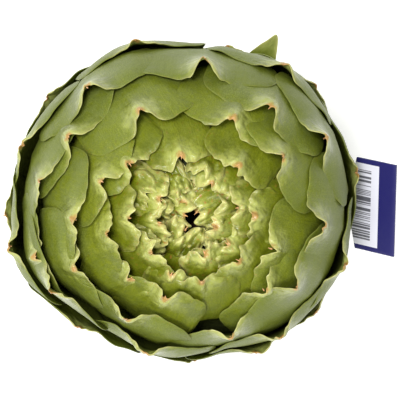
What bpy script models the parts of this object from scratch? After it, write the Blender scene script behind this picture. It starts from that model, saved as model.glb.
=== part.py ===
"""A globe artichoke: a head of overlapping bracts fused on their core, a cut stem, and a plastic tag.

Metres, +Z up. The origin is the centre of the stem's cut face, which the artichoke stands on.
The bracts follow the plant's own spiral: each one sits a golden angle round from the last and a
little further down the globe, and lies on a shell just outside the bracts above it.
"""

import math
import random
from dataclasses import dataclass

import bmesh
import bpy
from mathutils import Vector
from mathutils.geometry import interpolate_bezier

# The globe that the bracts close up to
GLOBE_RADIUS = 0.0568
CROWN_RISE = 0.050  # from the widest level up to the crown
BASE_DROP = 0.0455  # from the widest level down to the base, if the globe closed there
WIDEST_Z = 0.057
OVALNESS = 0.03  # the globe is wider along X than along Y by this share, twice
BULGES = (  # where the head stands out or is flattened: azimuth, spread and height
    (math.radians(50), math.radians(20), 0.0024),
    (math.radians(110), math.radians(14), 0.0024),
    (math.radians(202), math.radians(12), 0.0028),
    (math.radians(236), math.radians(24), -0.0042),
    (math.radians(286), math.radians(16), -0.0034),
)
CROWN_POWER = 2.2
BASE_POWER = 2.05
CROWN_DIMPLE = 0.004
DIMPLE_SPREAD = math.radians(13)

# The spiral of bracts, counted from the innermost outwards
GOLDEN_ANGLE = math.radians(137.508)
SPIRAL_START = math.radians(303.7)
CROWN_POLAR = math.radians(3.2)
POLAR_STEP = math.radians(1.15)  # from one bract's tip to the next, near the crown
POLAR_GROWTH = math.radians(0.0128)  # how the steps lengthen further out
BRACT_COUNT = 58
ROOT_POLAR = math.radians(156)  # no bract reaches lower than this
# The bracts crowd together on some sides: waves round the head, their height and where they start
CROWDING = ((2, math.radians(7.9), math.radians(78)), (3, math.radians(4.2), math.radians(-6)))
# Bracts that stand off the spiral's line, in degrees round the head and down it
STRAYS = {
    7: (4, 2), 9: (-6, -2), 10: (4, 0), 12: (4, 2), 13: (0, 2), 14: (6, -2), 15: (12, 0), 16: (-16, 4),
    18: (-8, 2), 19: (-8, -2), 20: (-2, 4), 21: (14, 4), 22: (-8, -4), 23: (12, 0), 24: (-2, 4),
    25: (4, -2), 26: (-4, 2), 27: (-2, -6), 28: (4, 0), 29: (6, 0), 31: (-4, -6), 32: (-6, 0),
    34: (-8, 4), 35: (-4, -6), 36: (0, -6), 37: (-4, -8), 38: (0, -8), 41: (-4, -2), 43: (0, -6),
    44: (-2, 4), 46: (4, -8), 48: (6, 6), 52: (0, 6),
}

# One bract, before its own variation
WIDEST_HALF = 0.0250
INNER_HALF = 0.0080
LOWEST_HALF = 0.0150
BRACT_LENGTH = 0.034
ARCH_SHARE = 0.6  # height of the rounded end, over the half width
LOWEST_ARCH_SHARE = 1.2
BLUNTNESS = 3.0  # 2 is an ellipse, more is broader and flatter
NOTCH_LEAST = 0.0018  # the notch in a bract's end, for the smallest ones
NOTCH_SHARE = 0.07
NOTCH_WIDTH_SHARE = 0.18
ROOT_SHARE = 0.62  # width at the root, over the widest
BRACT_THICKNESS = 0.0007
SINK_SLOPE = 0.045  # how fast a bract runs in under the ones outside it
SINK_CURVE = 1.2
CROWN_SINK = 0.06  # the inner bracts stand more upright, so they run in faster
CROWN_SINK_SPREAD = math.radians(26)
ROOT_DIVE = 0.004
CUP = 0.0010
LOOSE_AZIMUTH = math.radians(205)  # the side where the bracts stand open
LOOSE_SPREAD = math.radians(52)
LOOSE_GAIN = 2.2
VARIATION_SEED = 11

# One low bract that is bent outwards, narrower and more pointed than the rest
BENT_BRACT = 58
BENT_AZIMUTH = math.radians(60)
BENT_POLAR = math.radians(104)
BENT_HALF = 0.0065
BENT_ARCH_SHARE = 1.7
BENT_FLARE = 0.0105

# The core that carries them
CORE_DEPTH = 0.0040
CORE_BASE_DEPTH = 0.0050
CORE_BOTTOM_Z = 0.0148
CORE_NECK_RADIUS = 0.0165
CORE_NECK_POLAR = math.radians(154)
CORE_STEPS = 10
CORE_TURN_STEPS = 20

# The stem
STEM_LENGTH = 0.0145  # 0.3 mm short of the core
STEM_RADIUS = 0.0152
STEM_RIBS = 11
RIB_HEIGHT = 0.0005
STEM_SIDES = 44

# The tag: a flat card whose stake is tucked in between two bracts
OUTER_TAG_BRACT = 52
INNER_TAG_BRACT = 44
TAG_ROOM = 0.0024  # how far the outer one of the two stands off for the stake
TAG_THICKNESS = 0.0006
CARD_WIDTH = 0.034
CARD_LENGTH = 0.0155
CARD_END = Vector((0.0733, -0.0028, 0.0590))  # middle of the outer edge
CARD_TURN = math.radians(-11)
CARD_RISE = math.radians(35)
CARD_ROLL = math.radians(21)
STAKE_WIDTH = 0.0065
STAKE_LENGTH = 0.011
STAKE_ACROSS = 0.0045  # the stake's middle, sideways from the outer bract's own middle
STAKE_STEPS = 3
SHOULDER = 0.003
NECK_REACH = 0.0035
NECK_STEPS = 6
STAKE_TAPER = 0.8

GREEN = (0.235, 0.275, 0.085, 1.0)
STALK_GREEN = (0.33, 0.36, 0.17, 1.0)
NAVY = (0.018, 0.016, 0.115, 1.0)


@dataclass
class Bract:
    """Where one bract sits on the globe, and how its end is shaped."""

    index: int
    azimuth: float
    polar: float
    half_width: float
    length: float
    notch: float
    fold: float
    flare: float
    lean: float
    arch: float
    stand_off: float = 0.0


def ramp(low, high, value):
    """0 below low, 1 above high, and smooth between."""
    share = min(1.0, max(0.0, (value - low) / (high - low)))
    return share * share * (3 - 2 * share)


def bell(value, spread):
    return math.exp(-((value / spread) ** 2))


def turn_from(azimuth, centre):
    """Signed angle from centre to azimuth, within half a turn."""
    return (azimuth - centre + math.pi) % (2 * math.pi) - math.pi


def globe(polar, azimuth):
    """Distance from the globe's centre to its surface."""
    rise, power = (CROWN_RISE, CROWN_POWER) if polar < math.pi / 2 else (BASE_DROP, BASE_POWER)
    radius = GLOBE_RADIUS * (1 + OVALNESS * math.cos(2 * azimuth))
    radius += sum(height * bell(turn_from(azimuth, centre), spread) for centre, spread, height in BULGES)
    across = (math.sin(polar) / radius) ** power
    along = (abs(math.cos(polar)) / rise) ** power
    return (across + along) ** (-1 / power) - CROWN_DIMPLE * bell(polar, DIMPLE_SPREAD)


def looseness(azimuth):
    """How much deeper than elsewhere the bracts run in, on the side where they stand open."""
    return 1 + LOOSE_GAIN * bell(turn_from(azimuth, LOOSE_AZIMUTH), LOOSE_SPREAD)


def sink(tip_polar, run, azimuth):
    """How deep a bract lies under the globe's surface, run metres down from its tip."""
    slope = SINK_SLOPE + CROWN_SINK * bell(tip_polar, CROWN_SINK_SPREAD)
    return looseness(azimuth) * (slope * run + SINK_CURVE * run * run)


def tip_place(index):
    """A bract's direction round the head and down from the crown, by the spiral's rule."""
    polar = CROWN_POLAR + POLAR_STEP * index + POLAR_GROWTH * index * index
    azimuth = SPIRAL_START - GOLDEN_ANGLE * index
    azimuth += sum(height * math.sin(waves * (azimuth - start)) for waves, height, start in CROWDING)
    stray_azimuth, stray_polar = STRAYS.get(index, (0, 0))
    return azimuth + math.radians(stray_azimuth), polar + math.radians(stray_polar)


def bract_plan():
    """Every bract's place and shape, by the spiral's rule with a seeded variation."""
    draw = random.Random(VARIATION_SEED)
    plan = []
    for index in range(1, BRACT_COUNT + 1):
        azimuth, polar = tip_place(index)
        polar += math.radians(draw.uniform(-0.3, 0.3))
        azimuth += math.radians(draw.uniform(-1.5, 1.5))
        growth = ramp(math.radians(2), math.radians(52), polar)
        half_width = INNER_HALF + (WIDEST_HALF - INNER_HALF) * growth
        narrowing = ramp(math.radians(88), math.radians(122), polar)
        half_width -= (WIDEST_HALF - LOWEST_HALF) * narrowing
        half_width *= draw.uniform(0.95, 1.05)
        length = min(BRACT_LENGTH, GLOBE_RADIUS * (ROOT_POLAR - polar))
        notch = (NOTCH_LEAST + NOTCH_SHARE * half_width) * draw.uniform(0.75, 1.25)
        fold = half_width * draw.uniform(0.07, 0.12)
        flare = draw.uniform(0.0, 0.0008)
        lean = math.radians(draw.uniform(-7, 7))
        arch = half_width * (ARCH_SHARE + (LOWEST_ARCH_SHARE - ARCH_SHARE) * narrowing)
        bract = Bract(index, azimuth, polar, half_width, length, notch, fold, flare, lean, arch)
        if index == BENT_BRACT:
            bract.azimuth, bract.polar, bract.half_width = BENT_AZIMUTH, BENT_POLAR, BENT_HALF
            bract.notch, bract.flare, bract.arch = 0.0, BENT_FLARE, BENT_HALF * BENT_ARCH_SHARE
        if index == OUTER_TAG_BRACT:
            bract.stand_off = TAG_ROOM
        plan.append(bract)
    return plan


def bract_point(bract, column, row):
    """A point of a bract's outer face.

    column runs from -1 to 1 across it, row from 0 at its end to 1 at its root.
    """
    share = math.sin(column * math.pi / 2)
    across = bract.half_width * share
    edge = bract.arch * (1 - max(0.0, 1 - abs(share) ** BLUNTNESS) ** (1 / BLUNTNESS))
    edge += bract.notch * (bell(across, bract.half_width * NOTCH_WIDTH_SHARE) - 1)
    along = edge + (bract.length - edge) * row
    across *= 1 - (1 - ROOT_SHARE) * ramp(0.4, 1.0, along / bract.length)
    share = across / bract.half_width

    leaned_across = across * math.cos(bract.lean) + along * math.sin(bract.lean)
    leaned_along = along * math.cos(bract.lean) - across * math.sin(bract.lean)
    middle = bract.polar + leaned_along / GLOBE_RADIUS
    sideways = leaned_across / GLOBE_RADIUS
    out = Vector((math.cos(bract.azimuth), math.sin(bract.azimuth), 0))
    side = Vector((-out.y, out.x, 0))
    direction = math.cos(sideways) * (math.sin(middle) * out + Vector((0, 0, math.cos(middle))))
    direction += math.sin(sideways) * side

    polar = math.acos(max(-1.0, min(1.0, direction.z)))
    azimuth = math.atan2(direction.y, direction.x)
    run = max(0.0, GLOBE_RADIUS * (polar - bract.polar))
    lift = CUP * (1 - share * share)
    lift += bract.fold * bell(across, bract.half_width * 0.2) * bell(along, 0.009)
    lift += bract.flare * max(0.0, 1 - along / 0.03) ** 2
    lift += bract.stand_off * (1 - row * row)
    radius = globe(polar, azimuth) - sink(bract.polar, run, azimuth) - ROOT_DIVE * row**4 + lift
    return Vector((0, 0, WIDEST_Z)) + direction * radius


def material(name, colour, roughness):
    made = bpy.data.materials.new(name)
    made.use_nodes = True
    shader = made.node_tree.nodes["Principled BSDF"]
    shader.inputs["Base Color"].default_value = colour
    shader.inputs["Roughness"].default_value = roughness
    shader.inputs["Metallic"].default_value = 0.0
    return made


def new_object(name, mesh, collection):
    made = bpy.data.objects.new(name, mesh)
    collection.objects.link(made)
    return made


def solidified_grid(name, columns, rows, place, thickness, collection):
    """An open sheet of columns by rows, each vertex put where place(x, y) says, thickened inwards."""
    bm = bmesh.new()
    bmesh.ops.create_grid(bm, x_segments=columns, y_segments=rows, size=1.0)
    for vertex in bm.verts:
        vertex.co = place(vertex.co.x, vertex.co.y)
    bmesh.ops.triangulate(bm, faces=bm.faces[:], quad_method="SHORT_EDGE")
    mesh = bpy.data.meshes.new(name)
    bm.to_mesh(mesh)
    bm.free()
    sheet = new_object(name, mesh, collection)
    shell = sheet.modifiers.new("thickness", "SOLIDIFY")
    shell.thickness = thickness
    shell.offset = -1.0
    return sheet


def add_bract(bract, collection):
    """One bract, with its columns closer together at the notch and its rows closer at the end."""
    slim = bract.half_width < 0.0120
    columns = 4 if slim else 6
    rows = 2 if slim or bract.polar > math.radians(95) else 3

    def place(x, y):
        column = math.copysign(abs(x) ** 1.5, x)
        return bract_point(bract, column, ((1 - y) / 2) ** 1.3)

    return solidified_grid(f"bract_{bract.index}", columns, rows, place, BRACT_THICKNESS, collection)


def core_point(polar, azimuth):
    """A point of the core's surface: inside the globe, and drawn in to a flat neck below."""
    if polar > CORE_NECK_POLAR:
        across = CORE_NECK_RADIUS * (math.pi - polar) / (math.pi - CORE_NECK_POLAR)
        return Vector((across * math.cos(azimuth), across * math.sin(azimuth), CORE_BOTTOM_Z))
    lower = ramp(math.radians(95), math.radians(140), polar)
    depth = CORE_DEPTH * looseness(azimuth) * (1 - lower) + CORE_BASE_DEPTH * lower
    radius = globe(polar, azimuth) - depth
    across = radius * math.sin(polar)
    height = max(CORE_BOTTOM_Z + 0.0005, WIDEST_Z + radius * math.cos(polar))
    return Vector((across * math.cos(azimuth), across * math.sin(azimuth), height))


def add_core(collection):
    """The heart and the packed bud in one body, a little inside the globe."""
    bm = bmesh.new()
    bmesh.ops.create_uvsphere(bm, u_segments=CORE_TURN_STEPS, v_segments=CORE_STEPS, radius=1.0)
    for vertex in bm.verts:
        azimuth = math.atan2(vertex.co.y, vertex.co.x)
        vertex.co = core_point(math.acos(max(-1.0, min(1.0, vertex.co.z))), azimuth)
    mesh = bpy.data.meshes.new("head")
    bm.to_mesh(mesh)
    bm.free()
    return new_object("head", mesh, collection)


def applied(made):
    """Replaces an object's mesh by its evaluated one, and drops its modifiers."""
    graph = bpy.context.evaluated_depsgraph_get()
    mesh = bpy.data.meshes.new_from_object(made.evaluated_get(graph))
    made.modifiers.clear()
    made.data = mesh
    return made


def keep_main_body(made):
    """Fills the hollows that fusing seals and drops loose scraps: only the largest island stays."""
    bm = bmesh.new()
    bm.from_mesh(made.data)
    unseen = set(bm.verts)
    islands = []
    while unseen:
        island, edge = set(), [unseen.pop()]
        while edge:
            vertex = edge.pop()
            island.add(vertex)
            near = [other for link in vertex.link_edges for other in link.verts if other in unseen]
            unseen.difference_update(near)
            edge.extend(near)
        islands.append(island)
    islands.sort(key=len)
    scraps = [vertex for island in islands[:-1] for vertex in island]
    bmesh.ops.delete(bm, geom=scraps, context="VERTS")
    bm.to_mesh(made.data)
    bm.free()


def add_head(collection, cutters):
    """The bracts, fused in one body with the core that their roots are sunk in."""
    core = add_core(collection)
    for bract in bract_plan():
        add_bract(bract, cutters)
    fused = core.modifiers.new("bracts", "BOOLEAN")
    fused.operation = "UNION"
    fused.operand_type = "COLLECTION"
    fused.collection = cutters
    fused.solver = "MANIFOLD"
    applied(core)
    for bract in list(cutters.objects):
        bpy.data.objects.remove(bract)
    keep_main_body(core)
    core.data.materials.append(material("bract_green", GREEN, 0.55))
    return core


def add_stem(collection):
    """The stub of the stalk, with shallow ribs, cut flat across."""
    bm = bmesh.new()
    bmesh.ops.create_cone(
        bm, cap_ends=True, segments=STEM_SIDES, radius1=STEM_RADIUS, radius2=STEM_RADIUS, depth=STEM_LENGTH
    )
    bmesh.ops.translate(bm, verts=bm.verts, vec=(0, 0, STEM_LENGTH / 2))
    for vertex in bm.verts:
        around = math.atan2(vertex.co.y, vertex.co.x)
        ribbed = 1 + RIB_HEIGHT / STEM_RADIUS * math.cos(STEM_RIBS * around)
        vertex.co.x *= ribbed
        vertex.co.y *= ribbed
    mesh = bpy.data.meshes.new("stem")
    bm.to_mesh(mesh)
    bm.free()
    stem = new_object("stem", mesh, collection)
    stem.data.materials.append(material("stem_green", STALK_GREEN, 0.7))
    return stem


def tag_stations(outer, inner):
    """The tag's middle line, from the card's far edge to the stake's point.

    Each station is a place, a sideways direction and a half width.
    """
    along = Vector((math.cos(CARD_TURN), math.sin(CARD_TURN), math.tan(CARD_RISE))).normalized()
    level = Vector((-math.sin(CARD_TURN), math.cos(CARD_TURN), 0))
    side = math.cos(CARD_ROLL) * level + math.sin(CARD_ROLL) * along.cross(level)
    card_root = CARD_END - CARD_LENGTH * along
    shoulder = card_root - SHOULDER * along
    stations = [(CARD_END, side, CARD_WIDTH / 2), (card_root, side, CARD_WIDTH / 2)]
    stations.append((shoulder, side, STAKE_WIDTH / 2))

    azimuth = outer.azimuth + STAKE_ACROSS / GLOBE_RADIUS
    stake = []
    for step in range(STAKE_STEPS + 1):
        run = STAKE_LENGTH * step / STAKE_STEPS
        polar = outer.polar + run / GLOBE_RADIUS
        inner_run = GLOBE_RADIUS * (polar - inner.polar)
        depth = BRACT_THICKNESS - outer.stand_off
        depth += sink(outer.polar, run, azimuth) + sink(inner.polar, inner_run, azimuth)
        radius = globe(polar, azimuth) - depth / 2 + CUP
        outward = Vector((math.cos(azimuth), math.sin(azimuth), 0)) * math.sin(polar)
        stake.append(Vector((0, 0, WIDEST_Z + radius * math.cos(polar))) + outward * radius)
    inwards = shoulder - NECK_REACH * along
    upwards = stake[0] + NECK_REACH * (stake[0] - stake[1]).normalized()
    neck = interpolate_bezier(shoulder, inwards, upwards, stake[0], NECK_STEPS + 1)
    flat = Vector((-math.sin(azimuth), math.cos(azimuth), 0))
    for step in range(1, NECK_STEPS + 1):
        turned = side.lerp(flat, step / NECK_STEPS).normalized()
        stations.append((neck[step], turned, STAKE_WIDTH / 2))
    for step in range(1, STAKE_STEPS + 1):
        taper = 1 - STAKE_TAPER * ramp(1, STAKE_STEPS, step)
        stations.append((stake[step], flat, STAKE_WIDTH / 2 * taper))
    return stations


def add_tag(collection):
    """The plastic tag, one bent sheet: a card, its neck and the stake between two bracts."""
    plan = {bract.index: bract for bract in bract_plan()}
    stations = tag_stations(plan[OUTER_TAG_BRACT], plan[INNER_TAG_BRACT])
    rows = len(stations) - 1

    def place(x, y):
        middle, side, half_width = stations[round((1 - y) / 2 * rows)]
        return middle + side * half_width * x

    tag = solidified_grid("produce_tag", 2, rows, place, TAG_THICKNESS, collection)
    tag.modifiers["thickness"].offset = 0.0
    tag.data.materials.append(material("tag_plastic", NAVY, 0.4))
    return tag


def main():
    for old in list(bpy.data.objects):
        bpy.data.objects.remove(old)
    collection = bpy.data.collections.new("artichoke")
    cutters = bpy.data.collections.new("loose_bracts")
    bpy.context.scene.collection.children.link(collection)
    bpy.context.scene.collection.children.link(cutters)
    add_head(collection, cutters)
    add_stem(collection)
    add_tag(collection)


main()
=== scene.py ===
"""The looks of a globe artichoke: waxy notched bracts in a spiral, a cut stem and a plastic produce tag.

Everything is in metres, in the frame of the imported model, with +Z up and the stem's cut face at the origin.
The bracts follow the same spiral rule as the solids, with finer ends, margins and spines.
"""

from __future__ import annotations

import logging
import math
import random
from dataclasses import dataclass
from enum import Enum
from typing import Any, Callable

import bpy
import numpy as np
from mathutils import Matrix, Vector, noise
from mathutils.geometry import interpolate_bezier

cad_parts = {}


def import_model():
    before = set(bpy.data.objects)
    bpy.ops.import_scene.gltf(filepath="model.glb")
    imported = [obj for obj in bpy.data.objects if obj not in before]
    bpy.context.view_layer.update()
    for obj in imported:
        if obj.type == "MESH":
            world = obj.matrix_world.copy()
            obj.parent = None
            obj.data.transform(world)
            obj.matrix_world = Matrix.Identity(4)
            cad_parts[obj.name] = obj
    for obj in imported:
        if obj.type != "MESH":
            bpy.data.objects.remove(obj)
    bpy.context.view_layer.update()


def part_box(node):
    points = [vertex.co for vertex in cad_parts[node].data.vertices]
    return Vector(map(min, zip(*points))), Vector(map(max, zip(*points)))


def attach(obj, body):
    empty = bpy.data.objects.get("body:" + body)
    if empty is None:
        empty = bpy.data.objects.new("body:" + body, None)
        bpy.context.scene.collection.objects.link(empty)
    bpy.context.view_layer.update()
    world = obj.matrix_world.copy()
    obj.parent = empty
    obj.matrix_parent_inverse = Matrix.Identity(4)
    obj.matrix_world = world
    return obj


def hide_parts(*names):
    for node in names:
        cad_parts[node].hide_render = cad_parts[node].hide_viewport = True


LOG = logging.getLogger("artichoke")
Colour = tuple[float, float, float, float]
Triple = tuple[float, float, float]
Array = np.ndarray
Piece = bpy.types.Object
Material = bpy.types.Material
Socket = bpy.types.NodeSocket
BODY = "root"


def rgb(*shown: float) -> Colour:
    """A colour as linear light, with its opacity, from its three display values of 0 to 255."""
    shares = [value / 255 for value in shown]
    return (*[s / 12.92 if s <= 0.04045 else ((s + 0.055) / 1.055) ** 2.4 for s in shares], 1.0)


def ramp(low: float, high: float, value: Any) -> Any:
    """Rises smoothly from 0 at low to 1 at high, for a number or an array."""
    share = np.clip((value - low) / (high - low), 0.0, 1.0)
    return share * share * (3 - 2 * share)


def bell(value: Any, spread: float) -> Any:
    """1 at 0 and falling off smoothly over about spread on both sides."""
    return np.exp(-((value / spread) ** 2))


def ramp_degrees(low: float, high: float, angle: float) -> float:
    """The ramp between two angles in degrees, at an angle in radians."""
    return float(ramp(math.radians(low), math.radians(high), angle))


def bell_degrees(angle: float, spread: float) -> float:
    """The bell at an angle in radians, with its spread in degrees."""
    return float(bell(angle, math.radians(spread)))


def turn_from(azimuth: Any, centre: float) -> Any:
    """The signed angle from centre to azimuth, within half a turn."""
    return (azimuth - centre + math.pi) % (2 * math.pi) - math.pi


def angles(directions: Array) -> tuple[Array, Array]:
    """The angles down from +Z and round from +X of unit directions, one to a row."""
    return np.arccos(np.clip(directions[:, 2], -1, 1)), np.arctan2(directions[:, 1], directions[:, 0])


def noise_at(*places: Any) -> Array:
    """Smooth noise of -1 to 1 at the points that three arrays or numbers give together."""
    points = np.stack(np.broadcast_arrays(*places), axis=-1)
    return np.array([noise.noise(point) for point in points])


# -- Shaders


def operator(operation: str, swapped: bool = False) -> Callable[[Wire, Wire | float], Wire]:
    """A method that adds one Math node, on a wire and another value.

    Args:
        operation: What the node does.
        swapped: Whether the other value comes first.

    Returns:
        The method.
    """

    def method(wire: Wire, other: Wire | float) -> Wire:
        """The node's output."""
        return wire.shader.math(operation, *((other, wire) if swapped else (wire, other)))

    return method


class Wire:
    """A number on its way through a shader. Arithmetic on it adds Math nodes."""

    __add__ = __radd__ = operator("ADD")
    __sub__ = operator("SUBTRACT")
    __rsub__ = operator("SUBTRACT", swapped=True)
    __mul__ = __rmul__ = operator("MULTIPLY")
    __truediv__ = operator("DIVIDE")
    __gt__ = operator("GREATER_THAN")
    __lt__ = operator("LESS_THAN")

    def __init__(self, shader: Shader, socket: Socket) -> None:
        """Wraps one output socket of a shader."""
        self.shader = shader
        self.socket = socket

    def ramp(self, low: float, high: float) -> Wire:
        """Rises smoothly from 0 to 1, or falls where low is the greater.

        Args:
            low: Where it is 0.
            high: Where it is 1.

        Returns:
            The share.
        """
        inputs = {"Value": self, "From Min": low, "From Max": high}
        made = self.shader.node("ShaderNodeMapRange", {"interpolation_type": "SMOOTHSTEP"}, inputs)
        return Wire(self.shader, made.outputs["Result"])

    def frayed(self, clouds: Wire, width: float) -> Wire:
        """This, shifted up and down by noise, by width from end to end."""
        return self + (clouds - 0.5) * width


class Shader:
    """Builds one material's nodes."""

    def __init__(self, name: str) -> None:
        """Starts a material with a Principled shader.

        Args:
            name: The material's name.
        """
        self.material = bpy.data.materials.new(name)
        self.material.use_nodes = True
        self.tree = self.material.node_tree
        self.principled = self.tree.nodes["Principled BSDF"]

    def node(
        self, kind: str, settings: dict[str, Any] | None = None, inputs: dict[Any, Any] | None = None
    ) -> bpy.types.Node:
        """Adds a node, sets it, then fills its sockets.

        Args:
            kind: The node's type.
            settings: Its own settings.
            inputs: Numbers, vectors, wires or sockets, by the name or number of its input.

        Returns:
            The new node.
        """
        made = self.tree.nodes.new(kind)
        for name, value in (settings or {}).items():
            setattr(made, name, value)
        for name, value in (inputs or {}).items():
            self.feed(made.inputs[name], value)
        return made

    def feed(self, socket: Socket, value: Any) -> None:
        """Links a wire or a socket to an input, or sets it to a constant.

        Args:
            socket: The input.
            value: What it takes.
        """
        if isinstance(value, Wire):
            value = value.socket
        if isinstance(value, Socket):
            self.tree.links.new(value, socket)
        else:
            socket.default_value = value

    def math(self, operation: str, *values: Wire | float) -> Wire:
        """One Math node on one or two values."""
        made = self.node("ShaderNodeMath", {"operation": operation}, dict(enumerate(values)))
        return Wire(self, made.outputs[0])

    def attribute(self, name: str) -> Wire:
        """A number stored on the mesh's points."""
        return Wire(self, self.node("ShaderNodeAttribute", {"attribute_name": name}).outputs["Fac"])

    def scaled(self, place: Socket, scale: Triple) -> Socket:
        """A place, scaled along each of its directions."""
        return self.node("ShaderNodeMapping", None, {"Vector": place, "Scale": scale}).outputs["Vector"]

    def uv(self, scale: Triple = (1.0, 1.0, 1.0)) -> Socket:
        """The piece's own UV map, scaled along each of its directions."""
        return self.scaled(self.node("ShaderNodeTexCoord").outputs["UV"], scale)

    def object_place(self) -> Socket:
        """The place in the object's frame, in metres."""
        return self.node("ShaderNodeTexCoord").outputs["Object"]

    def parts(self, vector: Socket) -> list[Wire]:
        """The three numbers of a vector."""
        made = self.node("ShaderNodeSeparateXYZ", None, {"Vector": vector})
        return [Wire(self, output) for output in made.outputs]

    def from_axis(self) -> Wire:
        """The distance from the upright line through the origin."""
        x, y, _ = self.parts(self.object_place())
        return self.math("SQRT", x * x + y * y)

    def noise(self, vector: Socket, scale: float, detail: float = 3.0, seed: Wire | float = 0.0) -> Wire:
        """Cloudy noise of 0 to 1 about 0.5.

        Args:
            vector: Where it is read.
            scale: How many clouds there are to a unit.
            detail: How many finer layers it has.
            seed: Shifts it, so that two pieces differ.

        Returns:
            The noise.
        """
        inputs = {"Vector": vector, "W": seed, "Scale": scale, "Detail": detail}
        made = self.node("ShaderNodeTexNoise", {"noise_dimensions": "4D"}, inputs)
        return Wire(self, made.outputs["Fac"])

    def spots(self, vector: Socket, scale: float) -> Wire:
        """Distance to the nearest of many scattered points."""
        made = self.node("ShaderNodeTexVoronoi", None, {"Vector": vector, "Scale": scale, "Randomness": 1.0})
        return Wire(self, made.outputs["Distance"])

    def layered(self, base: Any, *layers: tuple[Wire | float, Any]) -> Socket:
        """Lays colours over a base.

        Args:
            base: The lowest colour, as a constant or a socket.
            layers: The share and the colour of each layer, from the lowest up.

        Returns:
            The blended colour.
        """
        for share, colour in layers:
            made = self.node("ShaderNodeMix", {"data_type": "RGBA", "clamp_factor": True})
            for number, value in zip((0, 6, 7), (share, base, colour)):  # the sockets that blend colours
                self.feed(made.inputs[number], value)
            base = made.outputs[2]
        return base

    def bump(self, height: Wire, depth: float, below: Any = None) -> Socket:
        """A Bump node.

        Args:
            height: The relief, of 0 to 1.
            depth: Its height in metres.
            below: Another bump's normal that it goes on.

        Returns:
            The normal.
        """
        inputs = {"Height": height, "Distance": depth, "Strength": 1.0}
        if below is not None:
            inputs["Normal"] = below
        return self.node("ShaderNodeBump", None, inputs).outputs["Normal"]

    def finish(self, **sockets: Any) -> Material:
        """Fills the Principled shader.

        Args:
            sockets: Its inputs by name, with _ for a space.

        Returns:
            The material.
        """
        for name, value in sockets.items():
            self.feed(self.principled.inputs[name.replace("_", " ")], value)
        return self.material


class BractShader(Shader):
    """A shader with what a bract's skin follows: its mesh's own numbers, and noise from broad to fine."""

    def __init__(self) -> None:
        """Adds the nodes that read them."""
        super().__init__("bract_skin")
        self.age = self.attribute("age")
        self.tint = self.attribute("tint")
        self.rim = self.attribute("rim")
        self.thorn = self.attribute("thorn")
        self.puff = self.attribute("puff")
        self.young = self.age.ramp(0.28, 0.04)
        seed = self.tint * 40.0
        self.streaks = self.noise(self.uv((60.0, 3.0, 1.0)), 1.0, 3.0, seed)
        self.fine_streaks = self.noise(self.uv((190.0, 9.0, 1.0)), 1.0, 2.0, seed)
        self.clouds = self.noise(self.uv(), 7.0, 4.0, seed)
        self.mottle = self.noise(self.uv(), 26.0, 3.0, seed)
        self.specks = self.noise(self.uv((1.0, 0.6, 1.0)), 95.0, 3.0, seed)
        self.grain = self.noise(self.uv(), 330.0, 2.0, seed)
        self.flecks = self.noise(self.uv(), 44.0, 3.0, seed + 3.0)
        self.blisters = self.noise(self.uv(), 24.0, 1.0, seed + 5.0)
        self.freckles = self.spots(self.uv(), 70.0)


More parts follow.
